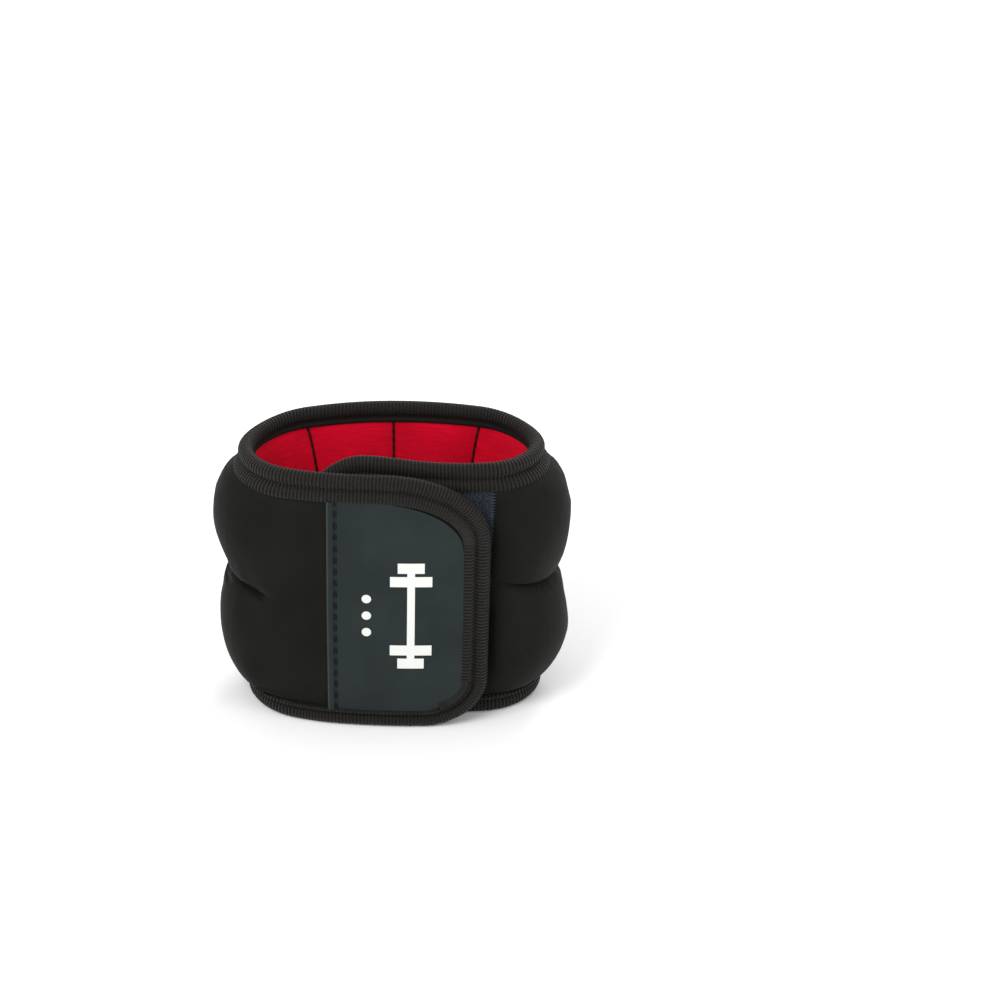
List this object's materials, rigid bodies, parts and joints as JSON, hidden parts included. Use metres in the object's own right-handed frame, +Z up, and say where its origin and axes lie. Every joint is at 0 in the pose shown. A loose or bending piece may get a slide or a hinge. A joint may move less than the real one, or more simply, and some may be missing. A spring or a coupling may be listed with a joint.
{
  "type": "ankle cuff weight",
  "caption": "Soft ankle cuff weight: a strip of filled channels with a red lining, closed into a cuff by a hook-and-loop flap.",
  "frame": {"origin": "bottom centre of the closed cuff's bounding box, on the surface it stands on", "axes": "+Z up along the leg's axis, +X across the flat width of the cuff, -Y out of the labelled flap; +X is the longest side"},
  "size_m": [0.106, 0.0595, 0.09],
  "materials": {
    "neoprene_black": "matt stretch neoprene",
    "jersey_red": "matt jersey over foam",
    "iron_sand_pouch": "grey woven bag filled with iron sand",
    "binding_black": "matt folded tape, whip-stitched",
    "foam_pad": "open foam",
    "hook_tape": "dense plastic hooks",
    "loop_pile": "brushed loop pile",
    "label_slate": "smooth satin coated fabric",
    "mark_white": "screen print",
    "thread_grey": "twisted thread"
  },
  "bodies": {
    "back_left": {"back_left_cover": "neoprene_black", "back_left_lining": "jersey_red", "back_left_upper_pouch": "iron_sand_pouch", "back_left_lower_pouch": "iron_sand_pouch", "back_left_binding": "binding_black"},
    "side_left": {"side_left_cover": "neoprene_black", "side_left_lining": "jersey_red", "side_left_upper_pouch": "iron_sand_pouch", "side_left_lower_pouch": "iron_sand_pouch", "side_left_binding": "binding_black"},
    "front_left": {"front_left_cover": "neoprene_black", "front_left_lining": "jersey_red", "front_left_upper_pouch": "iron_sand_pouch", "front_left_lower_pouch": "iron_sand_pouch", "front_left_binding": "binding_black"},
    "back_right": {"back_right_cover": "neoprene_black", "back_right_lining": "jersey_red", "back_right_upper_pouch": "iron_sand_pouch", "back_right_lower_pouch": "iron_sand_pouch", "back_right_binding": "binding_black"},
    "side_right": {"side_right_cover": "neoprene_black", "side_right_lining": "jersey_red", "side_right_upper_pouch": "iron_sand_pouch", "side_right_lower_pouch": "iron_sand_pouch", "side_right_binding": "binding_black"},
    "front_right": {"front_right_cover": "neoprene_black", "front_right_lining": "jersey_red", "front_right_upper_pouch": "iron_sand_pouch", "front_right_lower_pouch": "iron_sand_pouch", "front_right_binding": "binding_black"},
    "flap_root": {"root_cover": "neoprene_black", "root_lining": "jersey_red", "root_pad": "foam_pad", "root_binding": "binding_black"},
    "flap": {"flap_shell": "neoprene_black", "flap_lining": "jersey_red", "hook_patch": "hook_tape", "label_patch": "label_slate", "label_mark": "mark_white", "label_stitching": "thread_grey", "flap_binding": "binding_black"},
    "landing": {"landing_shell": "neoprene_black", "landing_lining": "jersey_red", "loop_patch": "loop_pile", "landing_binding": "binding_black"}
  },
  "joints": [
    {"name": "fold_side_left", "type": "hinge", "parent": "back_left", "child": "side_left", "pos_m": [-0.02771, 0.02102, 0.045], "axis": [0, 0, -1], "range_deg": [0, 42.5]},
    {"name": "fold_front_left", "type": "hinge", "parent": "side_left", "child": "front_left", "pos_m": [-0.04824, 0.00049, 0.045], "axis": [0, 0, -1], "range_deg": [0, 77.5]},
    {"name": "fold_flap_root", "type": "hinge", "parent": "front_left", "child": "flap_root", "pos_m": [-0.03284, -0.02416, 0.045], "axis": [0, 0, -1], "range_deg": [0, 50.5]},
    {"name": "flap_peel", "type": "hinge", "parent": "flap_root", "child": "flap", "pos_m": [-0.0178, -0.02791, 0.045], "axis": [0, 0, -1], "range_deg": [0, 120]},
    {"name": "fold_back_right", "type": "hinge", "parent": "back_left", "child": "back_right", "pos_m": [0.0005, 0.0225, 0.045], "axis": [0, 0, 1], "range_deg": [0, 5]},
    {"name": "fold_side_right", "type": "hinge", "parent": "back_right", "child": "side_right", "pos_m": [0.02862, 0.02176, 0.045], "axis": [0, 0, 1], "range_deg": [0, 43.5]},
    {"name": "fold_front_right", "type": "hinge", "parent": "side_right", "child": "front_right", "pos_m": [0.04925, 0.00149, 0.045], "axis": [0, 0, 1], "range_deg": [0, 85.5], "deforming": ["landing_shell", "landing_lining", "loop_patch", "landing_binding"]},
    {"name": "fold_landing", "type": "hinge", "parent": "front_right", "child": "landing", "pos_m": [0.03074, -0.02057, 0.045], "axis": [0, 0, 1], "range_deg": [0, 51.5]}
  ],
  "couplings": [
    {"joint": "fold_side_left", "follows": "fold_front_right", "ratio": 0.49123},
    {"joint": "fold_front_left", "follows": "fold_front_right", "ratio": 0.90058},
    {"joint": "fold_flap_root", "follows": "fold_front_right", "ratio": 0.58479},
    {"joint": "fold_back_right", "follows": "fold_front_right", "ratio": 0.052632},
    {"joint": "fold_side_right", "follows": "fold_front_right", "ratio": 0.50292},
    {"joint": "fold_landing", "follows": "fold_front_right", "ratio": 0.59649}
  ]
}
